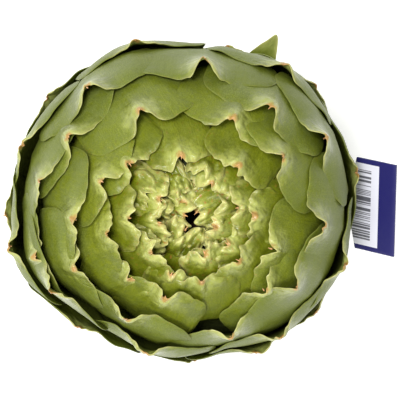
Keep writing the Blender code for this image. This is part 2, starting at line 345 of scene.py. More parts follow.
@dataclass(frozen=True)
class BractFinish:
    """A bract's skin: grey-green wax over yellow-green flesh, pale at its end, freckled at its margin."""

    inner_green: Colour = rgb(142, 150, 10)
    outer_green: Colour = rgb(100, 112, 22)
    deep_green: Colour = rgb(74, 84, 6)
    wax: Colour = rgb(110, 121, 60)
    end_yellow: Colour = rgb(200, 202, 98)
    halo: Colour = rgb(186, 192, 112)
    # Pale colour of the young bracts' ruffle crests, with a painted highlight.
    pale_crest_and_highlight: Colour = rgb(230, 224, 146)
    margin: Colour = rgb(206, 200, 134)
    rust: Colour = rgb(172, 106, 50)
    thorn: Colour = rgb(226, 170, 116)
    roughness: float = 0.5

    def material(self) -> Material:
        """Builds it. The mesh brings a UV map, and rim, thorn, age, tint and puff.

        Returns:
            The material.
        """
        shader = BractShader()
        shoulder = shader.thorn.ramp(0.014, 0.004) * shader.age.ramp(0.9, 0.5)
        glossy = shoulder * 0.5 + shader.young * 0.5
        return shader.finish(
            Base_Color=self.end_colour(shader, self.face_colour(shader)),
            Roughness=self.roughness + (shader.mottle - 0.5) * 0.25 - glossy * 0.28,
            Normal=self.relief(shader),
            Subsurface_Weight=0.08,
            Subsurface_Radius=(0.9, 1.0, 0.3),
            Subsurface_Scale=0.0012,
            Specular_IOR_Level=0.25,
            Coat_Weight=0.02 + glossy * 0.6,
            Coat_Roughness=0.2,
        )

    def face_colour(self, shader: BractShader) -> Socket:
        """The flesh, its wax and its grain, all over the bract, with painted shade towards its root and in
        the recesses of the young bracts.

        Args:
            shader: The shader it is in.

        Returns:
            The colour.
        """
        bloom = shader.mottle * 0.35 + shader.clouds * 0.35 + shader.streaks * 0.1 + shader.specks * 0.2
        bloom = bloom.ramp(0.4, 0.58) * shader.age.ramp(0.1, 0.5)
        bloom = bloom * shader.thorn.ramp(0.002, 0.013)
        # Painted shade: darker down the bract towards its root, where the next bracts lie over it.
        shade_under_next_bracts = shader.thorn.frayed(shader.clouds, 0.008).ramp(0.004, 0.024)
        # Painted shade: darker in the recesses a few millimetres below the end of a young bract.
        recess_shade = shader.thorn.frayed(shader.mottle, 0.004).ramp(0.003, 0.009)
        return shader.layered(
            self.inner_green,
            (shader.age.ramp(0.05, 0.55), self.outer_green),
            (shader.clouds.ramp(0.46, 0.66) * 0.6, self.deep_green),
            (shader.specks.ramp(0.5, 0.68) * 0.4, self.deep_green),
            (shader.streaks.ramp(0.45, 0.75) * 0.18, self.deep_green),
            (shader.fine_streaks.ramp(0.55, 0.3) * 0.1, self.end_yellow),
            (bloom * 0.85, self.wax),
            (shader.grain.ramp(0.52, 0.7) * 0.36, self.end_yellow),
            (shader.grain.ramp(0.48, 0.32) * 0.42, self.deep_green),
            (shader.math("PINGPONG", shader.tint * 37.0, 1.0) * 0.3, self.outer_green),
            (shade_under_next_bracts * 0.25, self.deep_green),
            (shader.age.ramp(0.62, 0.9) * 0.45, self.outer_green),
            (recess_shade * shader.age.ramp(0.4, 0.15) * 0.45, self.deep_green),
        )

    def end_colour(self, shader: BractShader, face: Socket) -> Socket:
        """The pale end, the margin, the rust and the spine, over the face's colour, with painted highlights
        on the young bracts' ruffle crests and painted shade in their creases.

        Args:
            shader: The shader it is in.
            face: The colour below.

        Returns:
            The colour.
        """
        near_tip = shader.thorn.frayed(shader.mottle, 0.008).ramp(0.012, 0.004)
        glow = shader.thorn.frayed(shader.clouds, 0.008).frayed(shader.mottle, 0.007)
        glow = glow.ramp(0.0085, 0.001)
        # The ruffle crests of young bracts: their pale colour with a painted highlight.
        pale_crest_and_highlight = shader.rim.frayed(shader.mottle, 0.003).ramp(0.0036, 0.0004)
        pale_crest_and_highlight = pale_crest_and_highlight * shader.puff.ramp(0.15, 0.7)
        edge = shader.rim.ramp(0.0006, 0.0001) * (0.08 + near_tip * 0.6)
        edge = shader.math("MAXIMUM", edge, shader.rim.ramp(0.0018, 0.0002) * near_tip * 0.3)
        freckles = shader.freckles.frayed(shader.mottle, 0.3).ramp(0.22, 0.1)
        near_margin = shader.rim.ramp(0.0035, 0.0005) * shader.age.ramp(0.85, 0.1)
        stain = shader.thorn.frayed(shader.mottle, 0.0028).ramp(0.0021, 0.0006)
        return shader.layered(
            face,
            (glow * 0.6, self.halo),
            (shader.young * pale_crest_and_highlight * 0.55, self.pale_crest_and_highlight),
            # Painted shade in the creases between a young bract's ruffles.
            (shader.young * shader.puff.ramp(0.5, 0.0) * 0.8, self.deep_green),
            (shader.young * shader.flecks.ramp(0.57, 0.68) * 0.6, self.rust),
            (edge * 0.75, self.margin),
            (freckles * near_margin * 0.6, self.rust),
            (stain * 0.65, self.rust),
            (shader.thorn < 0.0, self.thorn),
        )

    def relief(self, shader: BractShader) -> Socket:
        """Fine ribs, dents and specks, and blisters at the end.

        Args:
            shader: The shader it is in.

        Returns:
            The normal.
        """
        normal = shader.bump(shader.fine_streaks * 0.6 + shader.streaks, 0.0001)
        normal = shader.bump(shader.mottle, 0.00025, normal)
        normal = shader.bump(shader.specks * 0.7 + shader.grain * 0.3, 0.0002, normal)
        return shader.bump(shader.blisters * shader.thorn.ramp(0.012, 0.003), 0.0009, normal)


@dataclass(frozen=True)
class HeartFinish:
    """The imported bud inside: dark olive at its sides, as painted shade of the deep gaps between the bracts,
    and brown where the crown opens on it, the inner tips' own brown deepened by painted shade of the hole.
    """

    # Painted shade: dark, as the bud is seen only down deep gaps between the bracts.
    green: Colour = rgb(70, 78, 28)
    brown_and_shade: Colour = rgb(46, 22, 10)
    crown_reach: float = 0.010

    def material(self) -> Material:
        """Builds it.

        Returns:
            The material.
        """
        shader = Shader("bud_heart")
        clouds = shader.noise(shader.object_place(), 400.0)
        # The inner tips' brown, deepened as painted shade of the hole at the crown.
        brown_and_shade = shader.from_axis().frayed(clouds, 0.004).ramp(self.crown_reach, 0.6 * self.crown_reach)
        skin = shader.layered(self.green, (brown_and_shade, self.brown_and_shade))
        return shader.finish(Base_Color=skin, Roughness=0.7, Normal=shader.bump(clouds, 0.0008))


@dataclass(frozen=True)
class StemFinish:
    """The stalk: pale ribs, and a cut face that has begun to dry, with a paler pith."""

    green: Colour = rgb(148, 158, 104)
    pale: Colour = rgb(186, 190, 146)
    cut: Colour = rgb(206, 200, 158)
    pith: Colour = rgb(226, 222, 192)
    browned: Colour = rgb(134, 106, 66)

    def material(self, radius: float) -> Material:
        """Builds it.

        Args:
            radius: The stalk's radius.

        Returns:
            The material.
        """
        shader = Shader("stalk_skin")
        place = shader.object_place()
        height = shader.parts(place)[2]
        from_axis = shader.from_axis()
        fibres = shader.noise(shader.scaled(place, (900.0, 900.0, 60.0)), 1.0)
        clouds = shader.noise(place, 160.0, 4.0)
        pores = shader.spots(place, 1500.0)
        dried_ring = from_axis.frayed(clouds, 0.004).ramp(0.8 * radius, radius)
        face = shader.layered(
            self.cut,
            (pores.ramp(0.3, 0.1) * 0.6, self.browned),
            (from_axis.ramp(0.55 * radius, 0.4 * radius), self.pith),
            (dried_ring * 0.8, self.browned),
            (clouds.ramp(0.5, 0.75) * 0.4, self.browned),
        )
        skin = shader.layered(
            self.green,
            (fibres.ramp(0.35, 0.7) * 0.7, self.pale),
            (clouds.ramp(0.62, 0.72) * 0.5, self.browned),
            (height.ramp(0.0009, 0.0003), face),
        )
        relief = shader.bump(fibres, 0.0004)
        return shader.finish(Base_Color=skin, Roughness=0.62, Normal=relief, Subsurface_Weight=0.05)


@dataclass(frozen=True)
class TagFinish:
    """Satin navy plastic with a white printed panel of plain bars. Nothing on it can be read."""

    navy: Colour = rgb(26, 24, 92)
    white: Colour = rgb(214, 214, 226)
    ink: Colour = rgb(24, 24, 40)
    bar_module: float = 0.00028
    panel_across: tuple[float, float] = (-0.0152, 0.0152)
    panel_along: tuple[float, float] = (0.0066, 0.0180)
    bars_across: tuple[float, float] = (-0.0130, 0.0132)
    bars_along: tuple[float, float] = (0.0096, 0.0180)
    uv_per_metre: float = 10.0

    def within(self, across: Wire, along: Wire, *limits: tuple[float, float]) -> Wire:
        """1 inside a rectangle of the card, which is given by its limits across and along, and else 0."""
        (left, right), (near, far) = limits
        return (across > left) * (across < right) * (along > near) * (along < far)

    def material(self) -> Material:
        """Builds it. The UV map holds the places across and along the card.

        Returns:
            The material.
        """
        shader = Shader("tag_plastic_printed")
        across, along, _ = shader.parts(shader.uv((1 / self.uv_per_metre,) * 3))
        module = shader.math("FLOOR", across / self.bar_module)
        chance = shader.node("ShaderNodeTexWhiteNoise", {"noise_dimensions": "1D"}, {"W": module})
        bars = Wire(shader, chance.outputs["Value"]) > 0.5
        bars = bars * self.within(across, along, self.bars_across, self.bars_along)
        panel = self.within(across, along, self.panel_across, self.panel_along)
        scuffs = shader.noise(shader.uv(), 60.0, 4.0)
        colour = shader.layered(self.navy, (panel, self.white), (panel * bars * 0.85, self.ink))
        rough, relief = 0.3 + scuffs * 0.2, shader.bump(scuffs, 0.00003)
        return shader.finish(Base_Color=colour, Roughness=rough, Normal=relief, Coat_Weight=0.2)


# -- Modelling helpers


class Shade(Enum):
    """How a piece's faces are shaded."""

    SMOOTH = "smooth"
    BY_ANGLE = "by angle"


def pick(*pieces: Piece) -> None:
    """Selects these pieces alone, and makes the last of them active.

    Args:
        pieces: The pieces.
    """
    for other in bpy.context.selected_objects:
        other.select_set(False)
    for piece in pieces:
        piece.select_set(True)
        bpy.context.view_layer.objects.active = piece


def added(name: str, primitive: Callable[..., Any], **sizes: Any) -> Piece:
    """Adds a primitive.

    Args:
        name: The piece's name.
        primitive: The operator that adds it.
        sizes: What the operator takes.

    Returns:
        The new piece, active and the only one selected.
    """
    pick()
    primitive(**sizes)
    piece = bpy.context.object
    piece.name = piece.data.name = name
    return piece


def apply_modifier(piece: Piece, kind: str, **settings: Any) -> None:
    """Adds a modifier, sets it and applies it.

    Args:
        piece: The piece.
        kind: The modifier's type.
        settings: Its settings.
    """
    modifier = piece.modifiers.new(kind.lower(), kind)
    for name, value in settings.items():
        setattr(modifier, name, value)
    pick(piece)
    bpy.ops.object.modifier_apply(modifier=modifier.name)


def shade(piece: Piece, way: Shade = Shade.SMOOTH) -> None:
    """Shades a piece smooth.

    Args:
        piece: The piece.
        way: All over, or by the angle of its edges.
    """
    pick(piece)
    if way is Shade.SMOOTH:
        bpy.ops.object.shade_smooth()
    else:
        bpy.ops.object.shade_smooth_by_angle(angle=math.radians(35))


def store(piece: Piece, **numbers: Any) -> None:
    """Stores numbers on the points of a mesh, for its material to read.

    Args:
        piece: The piece.
        numbers: For each attribute's name, an array of one number a point, or one number for them all.
    """
    count = len(piece.data.vertices)
    for name, values in numbers.items():
        attribute = piece.data.attributes.new(name, "FLOAT", "POINT")
        spread = np.broadcast_to(np.float32(values), (count,))
        attribute.data.foreach_set("value", spread.astype(np.float32))


def set_points(piece: Piece, points: Array) -> None:
    """Puts each vertex of a mesh at its row of points."""
    piece.data.vertices.foreach_set("co", points.astype(np.float32).ravel())
    piece.data.update()


def get_points(piece: Piece) -> Array:
    """Reads the vertices of a mesh.

    Args:
        piece: The piece.

    Returns:
        Their places, one to a row.
    """
    flat = np.empty(len(piece.data.vertices) * 3, np.float32)
    piece.data.vertices.foreach_get("co", flat)
    return flat.reshape(-1, 3).astype(float)


def set_uv(piece: Piece, places: Array) -> None:
    """Gives every corner the UV place of its vertex.

    Args:
        piece: The piece.
        places: The UV place of each vertex, one to a row.
    """
    corners = np.empty(len(piece.data.loops), np.int32)
    piece.data.loops.foreach_get("vertex_index", corners)
    piece.data.uv_layers[0].data.foreach_set("uv", places[corners].astype(np.float32).ravel())


def dress(piece: Piece, material: Material, slot: str, *nodes: str) -> None:
    """Gives a finished piece its material and its body, and hides the solids that it stands for.

    Args:
        piece: The piece.
        material: Its material.
        slot: The record's slot that it takes its finish from; it is not used.
        nodes: The solids that it stands for.
    """
    piece.data.materials.clear()
    piece.data.materials.append(material)
    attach(piece, BODY)
    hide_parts(*nodes)
    triangles = sum(len(face.vertices) - 2 for face in piece.data.polygons)
    LOG.info("%s: %d triangles", piece.name, triangles)


# -- The head


@dataclass(frozen=True)
class Globe:
    """The rounded form that the bracts close up to, and how deep each one runs under it."""

    radius: float = 0.0568
    crown_rise: float = 0.050
    base_drop: float = 0.0455
    widest_z: float = 0.057
    ovalness: float = 0.03
    crown_power: float = 2.2
    base_power: float = 2.05
    dimple: float = 0.004
    dimple_spread: float = math.radians(13)
    sink_slope: float = 0.03
    sink_curve: float = 1.3
    crown_sink: float = 0.06
    crown_sink_spread: float = math.radians(26)
    loose_azimuth: float = math.radians(205)
    loose_spread: float = math.radians(52)
    loose_gain: float = 2.2
    bulges: tuple[Triple, ...] = (
        (math.radians(50), math.radians(20), 0.0024),
        (math.radians(110), math.radians(14), 0.0024),
        (math.radians(202), math.radians(12), 0.0028),
        (math.radians(236), math.radians(24), -0.0042),
        (math.radians(286), math.radians(16), -0.0034),
    )

    def surface(self, polar: Array, azimuth: Array) -> Array:
        """Distance from the globe's centre to its surface.

        Args:
            polar: Angle down from the crown.
            azimuth: Angle round from +X.

        Returns:
            The distance.
        """
        upper = polar < math.pi / 2
        rise = np.where(upper, self.crown_rise, self.base_drop)
        power = np.where(upper, self.crown_power, self.base_power)
        radius = self.radius * (1 + self.ovalness * np.cos(2 * azimuth))
        for centre, spread, height in self.bulges:
            radius = radius + height * bell(turn_from(azimuth, centre), spread)
        across = np.abs(np.sin(polar) / radius) ** power
        along = (np.abs(np.cos(polar)) / rise) ** power
        return (across + along) ** (-1 / power) - self.dimple * bell(polar, self.dimple_spread)

    def looseness(self, azimuth: Any) -> Any:
        """How open the bracts stand, from 0 to 1 on the side where they are loosest."""
        return bell(turn_from(azimuth, self.loose_azimuth), self.loose_spread)

    def sink(self, tip_polar: float, run: Any, azimuth: Any) -> Any:
        """How deep a bract lies under the surface, at a run down the globe from its own tip."""
        slope = self.sink_slope + self.crown_sink * bell(tip_polar, self.crown_sink_spread)
        return (1 + self.loose_gain * self.looseness(azimuth)) * (slope * run + self.sink_curve * run * run)

    def place(self, polar: Any, azimuth: Any, distance: Any) -> Array:
        """Points round the globe's centre.

        Args:
            polar: Angle down from the crown.
            azimuth: Angle round from +X.
            distance: Distance from the centre.

        Returns:
            The points, one to a row.
        """
        flat = distance * np.sin(polar)
        rows = [flat * np.cos(azimuth), flat * np.sin(azimuth), self.widest_z + distance * np.cos(polar)]
        return np.stack(rows, axis=-1)


@dataclass(frozen=True)
class Flat:
    """Points of a bract laid out flat, as arrays of one number a point."""

    across: Array  # from its middle line
    along: Array  # down from its tip's level
    rim: Array  # from its margin
    row: Array  # from 0 at its end to 1 at its root


@dataclass
class Bract:
    """One bract: its place on the globe, its outline, and how its end folds."""

    globe: Globe
    index: int
    azimuth: float
    polar: float
    half_width: float
    length: float
    notch: float
    fold: float
    flare: float
    lean: float
    arch: float
    shift: float = 0.0
    skew: float = 0.0
    seed: float = 0.0
    stand_off: float = 0.0
    notch_width: float = 0.004
    notch_power: float = 2.0
    keel_width: float = 0.002
    bluntness: float = 3.0
    curl_reach: float = 0.024
    puffing: float = 0.0
    hug: float = 0.0
    ragged: float = 1.0
    spined: bool = True

    ROOT_SHARE = 0.62
    ROOT_DIVE = 0.004
    CUP = 0.0008
    SKEW_REACH = 0.006
    RIPPLE = 0.0007
    YOUNG_RIPPLE = 0.0009
    LEAST_KEEL = 0.0012
    KEEL_POWER = 2.6
    KEEL_REACH = 0.0055
    MIDRIB = 0.0003
    MIDRIB_SPREAD = 0.0014
    MIDRIB_REACH = 0.030
    SWELLING = 0.0010  # along the margin of a young bract
    SWELLING_REACH = 0.0022
    HOLLOW = 0.0005  # along the margin of an old one
    HOLLOW_REACH = 0.0045
    RIM_ROLL = 0.0002
    YOUNG_RIM_ROLL = 0.0010
    RIM_ROLL_REACH = 0.0007
    RUFFLE = 0.0030
    RUFFLE_REACH = 0.0030
    FACE_RUFFLE = 0.0007
    FACE_RUFFLE_REACH = 0.012
    CRIMP = 0.0018
    CRIMP_REACH = 0.0022
    CRIMPED_WIDTH = 0.009
    CREASE_LEVEL = 0.45
    OPEN_WIDTH = 0.011
    DENT = 0.0009
    YOUNG_DENT = 0.0007

    def outline(self, column: Array) -> tuple[Array, Array]:
        """The margin round the bract's end.

        Args:
            column: From -1 at one side to 1 at the other.

        Returns:
            The distances across the bract and down from its tip's level.
        """
        share = np.sin(column * math.pi / 2)
        across = self.half_width * share
        edge = self.arch * (1 - (1 - np.abs(share) ** self.bluntness) ** (1 / self.bluntness))
        centred = across - self.shift
        hollow = np.exp(-np.abs(centred / self.notch_width) ** self.notch_power)
        edge = edge + self.notch * (hollow - 1)
        edge = edge + self.skew * np.tanh(centred / self.SKEW_REACH) * bell(across, self.half_width * 0.7)
        return across, edge + self.ripple(across)

    def ripple(self, across: Array) -> Array:
        """Small waves of the margin, in and out.

        Args:
            across: Distances across the bract.

        Returns:
            How far the margin lies further down at each.
        """
        size = self.RIPPLE + self.YOUNG_RIPPLE * bell_degrees(self.polar, 26)
        near_tip = 0.5 + 1.4 * bell(across - self.shift, 0.007)
        waves = noise_at(across * 240, self.seed, 0.0) + noise_at(across * 520, self.seed, 3.0)
        return self.ragged * size * near_tip * waves

    def narrowed(self, along: Array) -> Array:
        """The share of the width that is left on the way down to the root."""
        return 1 - (1 - self.ROOT_SHARE) * ramp(0.4, 1.0, along / self.length)

    def laid_flat(self, column: Array, row: Array) -> Flat:
        """Lays points out on the flattened bract.

        Args:
            column: From -1 at one side to 1 at the other.
            row: From 0 at its end to 1 at its root.

        Returns:
            The points.
        """
        across, edge = self.outline(column)
        along = edge + (self.length - edge) * row
        across = across * self.narrowed(along)
        return Flat(across, along, self.rim_distance(across, along), row)

    def rim_distance(self, across: Array, along: Array) -> Array:
        """The distance of each flat point to the margin, which is read at many places.

        Args:
            across: The points' distances across the bract.
            along: Their distances down from its tip's level.

        Returns:
            The distances.
        """
        end_across, end_along = self.outline(np.linspace(-1, 1, 161))
        side_along = self.arch + (self.length - self.arch) * np.linspace(0, 1, 60)
        side = self.half_width * self.narrowed(side_along)
        margin_across = np.concatenate([end_across, side, -side])
        margin_along = np.concatenate([end_along, side_along, side_along])
        gaps = np.hypot(across[:, None] - margin_across, along[:, None] - margin_along)
        return gaps.min(axis=1)

    def relief(self, flat: Flat) -> Array:
        """How far the outer face stands off its shell, outwards.

        Args:
            flat: The points.

        Returns:
            The height of each.
        """
        along, rim = flat.along, flat.rim
        centred = flat.across - self.shift
        young = bell_degrees(self.polar, 24)
        cup = self.CUP * (1 - (flat.across / self.half_width) ** 2)
        keel = np.exp(-np.abs(centred / self.keel_width) ** self.KEEL_POWER) * bell(along, self.KEEL_REACH)
        keel = (0.6 * self.fold + self.LEAST_KEEL) * (1 - 0.6 * ramp_degrees(58, 82, self.polar)) * keel
        midrib = self.MIDRIB * bell(centred, self.MIDRIB_SPREAD) * bell(along, self.MIDRIB_REACH)
        swollen = self.SWELLING * young * bell(rim - self.SWELLING_REACH, self.SWELLING_REACH)
        swollen = swollen - self.HOLLOW * (1 - young) * bell(rim, self.HOLLOW_REACH)
        lobes = swollen * bell(np.abs(centred) - self.half_width * 0.38, self.half_width * 0.2)
        rolled_rim = (self.RIM_ROLL + self.YOUNG_RIM_ROLL * young) * bell(rim, self.RIM_ROLL_REACH)
        dents = self.dents(flat) * (0.6 + bell(rim, 0.006))
        stand_off = self.stand_off * (1 - np.clip(along / self.length, 0, 1) ** 2)
        flare = self.flare * (1 - self.hug * (1 - bell(centred, self.OPEN_WIDTH)))
        curl = flare * np.clip(1 - along / self.curl_reach, 0, None) ** 2
        return cup + keel + midrib + lobes - rolled_rim + dents + self.crumples(flat) + stand_off + curl

    def crumples(self, flat: Flat) -> Array:
        """The ruffles of a young bract, and the crimped margin of the others at the notch.

        Args:
            flat: The points.

        Returns:
            Their height at each.
        """
        ruffles = self.RUFFLE * bell(flat.rim - 0.0008, self.RUFFLE_REACH)
        ruffles = self.puffing * (ruffles + self.FACE_RUFFLE * bell(flat.along, self.FACE_RUFFLE_REACH))
        crimps = self.CRIMP * bell(flat.rim - 0.0006, self.CRIMP_REACH)
        crimps = crimps * bell(flat.across - self.shift, self.CRIMPED_WIDTH)
        crimps = self.ragged * (1 - self.puffing) * crimps
        return (ruffles + crimps) * (self.puffs(flat) - self.CREASE_LEVEL)

    def puffs(self, flat: Flat) -> Array:
        """Swellings with sharp creases between them.

        Args:
            flat: The points.

        Returns:
            A number from 0 in a crease to 1 for each.
        """
        broad = noise_at(flat.across * 270, flat.along * 230, self.seed + 7)
        fine = noise_at(flat.across * 640, flat.along * 560, self.seed)
        return np.minimum(2.4 * np.abs(broad + 0.3 * fine), 1.0) ** 0.7

    def dents(self, flat: Flat) -> Array:
        """Soft dents and swellings of the face, with finer ones on the young bracts.

        Args:
            flat: The points.

        Returns:
            Their height at each.
        """
        broad = noise_at(flat.across * 120, flat.along * 70, self.seed)
        fine = noise_at(flat.across * 520, flat.along * 420, self.seed)
        return self.DENT * broad + self.puffing * self.YOUNG_DENT * fine

    def surface(self, flat: Flat) -> Array:
        """The outer face on the globe.

        Args:
            flat: Its points, laid out flat.

        Returns:
            The points, one to a row.
        """
        globe = self.globe
        middle = flat.along * math.cos(self.lean) - flat.across * math.sin(self.lean)
        middle = self.polar + middle / globe.radius
        sideways = (flat.across * math.cos(self.lean) + flat.along * math.sin(self.lean)) / globe.radius
        out = np.array([math.cos(self.azimuth), math.sin(self.azimuth), 0.0])
        side = np.array([-out[1], out[0], 0.0])
        up = np.array([0.0, 0.0, 1.0])
        direction = np.sin(middle)[:, None] * out + np.cos(middle)[:, None] * up
        direction = np.cos(sideways)[:, None] * direction + np.sin(sideways)[:, None] * side
        polar, azimuth = angles(direction)
        run = np.clip(globe.radius * (polar - self.polar), 0.0, None)
        distance = globe.surface(polar, azimuth) - globe.sink(self.polar, run, azimuth)
        distance = distance - self.ROOT_DIVE * flat.row**4 + self.relief(flat)
        return globe.place(polar, azimuth, distance)


# How far single bracts stray from the spiral's line, in degrees round the head and down it
STRAYS: dict[int, tuple[float, float]] = {
    1: (0, -3), 2: (0, -3), 3: (0, -2), 4: (0, -2), 7: (4, 2), 9: (-6, -2), 10: (4, 0), 12: (4, 2),
    13: (0, 2), 14: (6, -2), 15: (12, 0), 16: (-16, 4), 18: (-8, 2), 19: (-8, -2), 20: (-2, 4),
    21: (14, 4), 22: (-8, -4), 23: (12, 0), 24: (-2, 4), 25: (4, -2), 26: (-4, 2), 27: (-2, -6),
    28: (4, 0), 29: (6, 0), 31: (-4, -6), 32: (-6, 0), 34: (-8, 4), 35: (-4, -6), 36: (0, -6),
    37: (-4, -8), 38: (0, -8), 41: (-4, -2), 43: (0, -6), 44: (-2, 4), 46: (4, -8), 48: (6, 6),
    52: (0, 6),
}
# How deep single bracts are notched and keeled, over the usual depth
NOTCH_GAINS: dict[int, float] = {
    19: 0.7, 20: 1.3, 22: 1.3, 23: 1.3, 24: 1.3, 25: 1.6, 26: 1.2, 27: 0.4, 28: 1.3, 29: 1.2, 31: 0.8,
    32: 0.5, 33: 1.4, 34: 0.9, 35: 0.3, 36: 0.7, 37: 0.6, 38: 1.3, 39: 0.5, 43: 0.3, 46: 0.7, 48: 0.3,
}
# Single bracts that lean to one side, in degrees
LEANS: dict[int, float] = {27: -12, 35: -18, 43: -14}
# How much further than the rest the ends of single bracts stand off
OPENED: dict[int, float] = {
    15: 0.0008, 20: 0.0012, 22: 0.0012, 23: 0.0012, 25: 0.0008, 26: 0.0008, 27: 0.0016, 28: 0.0014,
    31: 0.0012, 32: 0.0016, 33: 0.0006, 34: 0.0006, 35: 0.0010, 36: 0.0017, 37: 0.0008, 38: 0.0012,
    41: 0.0010, 43: 0.0004,
}
# Small bracts between the others: degrees round the head and down it, and half width
EXTRAS: tuple[Triple, ...] = (
    (205, 43, 0.020), (196, 56, 0.021), (227, 30, 0.015), (280, 23, 0.015), (297, 12, 0.008),
    (323, 16, 0.009), (20, 11, 0.006), (72, 15, 0.007), (108, 9, 0.006), (150, 16, 0.007),
    (168, 7, 0.005), (212, 14, 0.007), (243, 9, 0.006), (252, 21, 0.009), (0, 22, 0.010),
    (345, 8, 0.005),
)


@dataclass(frozen=True)
class Spiral:
    """The rule that places the bracts: a golden angle apart, each a little further from the crown."""

    globe: Globe = Globe()
    golden_angle: float = math.radians(137.508)
    start: float = math.radians(303.7)
    crown_polar: float = math.radians(3.2)
    polar_step: float = math.radians(1.15)
    polar_growth: float = math.radians(0.0128)
    count: int = 58
    solid_seed: int = 11
    finer_seed: int = 5
    root_polar: float = math.radians(156)
    crowding: tuple[tuple[int, float, float], ...] = (
        (2, math.radians(7.9), math.radians(78)),
        (3, math.radians(4.2), math.radians(-6)),
    )
    widest_half: float = 0.0250
    inner_half: float = 0.0080
    lowest_half: float = 0.0150
    bract_length: float = 0.040
    arch_share: float = 0.6
    lowest_arch_share: float = 1.2
    notch_least: float = 0.0016
    notch_share: float = 0.05
    loose_flare: float = 0.0018
    hug: float = 0.75
    ruffled_azimuth: float = math.radians(255)
    ruffled_spread: float = math.radians(80)
    puffed_spread: float = math.radians(19)
    bent_bract: int = 58
    bent_azimuth: float = math.radians(60)
    bent_polar: float = math.radians(104)
    bent_half: float = 0.0060
    bent_flare: float = 0.0105
    stake_bract: int = 52
    stake_room: float = 0.0024
    extra_length_share: float = 1.9
    least_spined_half: float = 0.0085

    def tip_place(self, index: int) -> tuple[float, float]:
        """A bract's direction.

        Args:
            index: Its number, counted outwards from 1.

        Returns:
            The angles round the head and down from the crown.
        """
        polar = self.crown_polar + self.polar_step * index + self.polar_growth * index * index
        azimuth = self.start - self.golden_angle * index
        azimuth += sum(
            height * math.sin(waves * (azimuth - begin)) for waves, height, begin in self.crowding
        )
        stray_azimuth, stray_polar = STRAYS.get(index, (0, 0))
        return azimuth + math.radians(stray_azimuth), polar + math.radians(stray_polar)

    def length_from(self, polar: float) -> float:
        """How long a bract is that has its tip at an angle down from the crown."""
        return min(self.bract_length, self.globe.radius * (self.root_polar - polar))

    def bracts(self) -> list[Bract]:
        """Every bract, with the variation that the solids have and finer variation of its own.

        Returns:
            The bracts, from the innermost outwards, then the small ones between them.
        """
        draw = random.Random(self.solid_seed)
        finer = random.Random(self.finer_seed)
        plan = []
        for index in range(1, self.count + 1):
            bract = self.bract(index, draw)
            self.refine(bract, finer)
            if index == self.stake_bract:
                bract.stand_off = self.stake_room
            if index == self.bent_bract:
                self.bend(bract)
            plan.append(bract)
        for number, place in enumerate(EXTRAS, self.count + 1):
            plan.append(self.extra(number, *place, finer))
        return plan

    def bract(self, index: int, draw: random.Random) -> Bract:
        """One bract as the solids have it.

        Args:
            index: Its number, counted outwards from 1.
            draw: The draws that the solids make too.

        Returns:
            The bract.
        """
        azimuth, polar = self.tip_place(index)
        polar += math.radians(draw.uniform(-0.3, 0.3))
        azimuth += math.radians(draw.uniform(-1.5, 1.5))
        narrowing = ramp_degrees(88, 122, polar)
        half_width = self.inner_half + (self.widest_half - self.inner_half) * ramp_degrees(2, 52, polar)
        half_width -= (self.widest_half - self.lowest_half) * narrowing
        half_width *= draw.uniform(0.95, 1.05)
        return Bract(
            self.globe,
            index,
            azimuth,
            polar,
            half_width,
            self.length_from(polar),
            notch=(self.notch_least + self.notch_share * half_width) * draw.uniform(0.75, 1.25),
            fold=half_width * draw.uniform(0.07, 0.12),
            flare=draw.uniform(0.0, 0.0008),
            lean=math.radians(draw.uniform(-7, 7)),
            arch=half_width * (self.arch_share + (self.lowest_arch_share - self.arch_share) * narrowing),
        )

    def refine(self, bract: Bract, finer: random.Random) -> None:
        """Gives a bract the finer form that the solids leave out.

        Args:
            bract: The bract.
            finer: The draws for it.
        """
        loose = float(self.globe.looseness(bract.azimuth))
        gain = NOTCH_GAINS.get(bract.index, 1.0)
        bract.shift = bract.half_width * finer.uniform(-0.05, 0.05)
        bract.skew = finer.uniform(-0.0018, 0.0018)
        bract.seed = finer.uniform(0, 100)
        bract.notch *= gain
        bract.fold *= gain
        if bract.index in LEANS:
            bract.lean = math.radians(LEANS[bract.index])
        bract.notch_width = (0.0010 + 0.08 * bract.half_width) * finer.uniform(0.8, 1.25)
        bract.notch_power = finer.uniform(1.7, 3.4)
        bract.keel_width = (0.0020 + 0.08 * bract.half_width) * finer.uniform(0.8, 1.3)

        young = bell_degrees(bract.polar, 30) * (bract.index > 4)
        lower_side = float(bell(turn_from(bract.azimuth, self.ruffled_azimuth), self.ruffled_spread))
        opened = 0.0004 + 0.9 * bract.flare + OPENED.get(bract.index, 0.0)
        opened += self.loose_flare * loose * finer.uniform(0.3, 1.0)
        bract.flare = (1 - 0.6 * ramp_degrees(64, 84, bract.polar)) * opened
        bract.flare += young * (0.0003 + 0.0022 * lower_side)
        bract.puffing = float(bell(bract.polar, self.puffed_spread)) * (0.5 + 0.5 * lower_side)
        bract.hug = self.hug * (1 - loose) * ramp_degrees(26, 42, bract.polar)
        bract.curl_reach = 0.010 + 0.014 * ramp_degrees(20, 50, bract.polar)
        bract.ragged = 1.1 - 0.5 * ramp_degrees(60, 85, bract.polar)

    def bend(self, bract: Bract) -> None:
        """Makes a bract the narrow pointed one whose end stands off the head.

        Args:
            bract: The bract.
        """
        bract.azimuth, bract.polar = self.bent_azimuth, self.bent_polar
        bract.half_width, bract.arch = self.bent_half, self.bent_half * 1.7
        bract.length = self.length_from(bract.polar)
        bract.notch, bract.flare, bract.skew, bract.bluntness = 0.0, self.bent_flare, 0.0, 1.3
        bract.curl_reach, bract.ragged, bract.spined = 0.024, 0.2, False

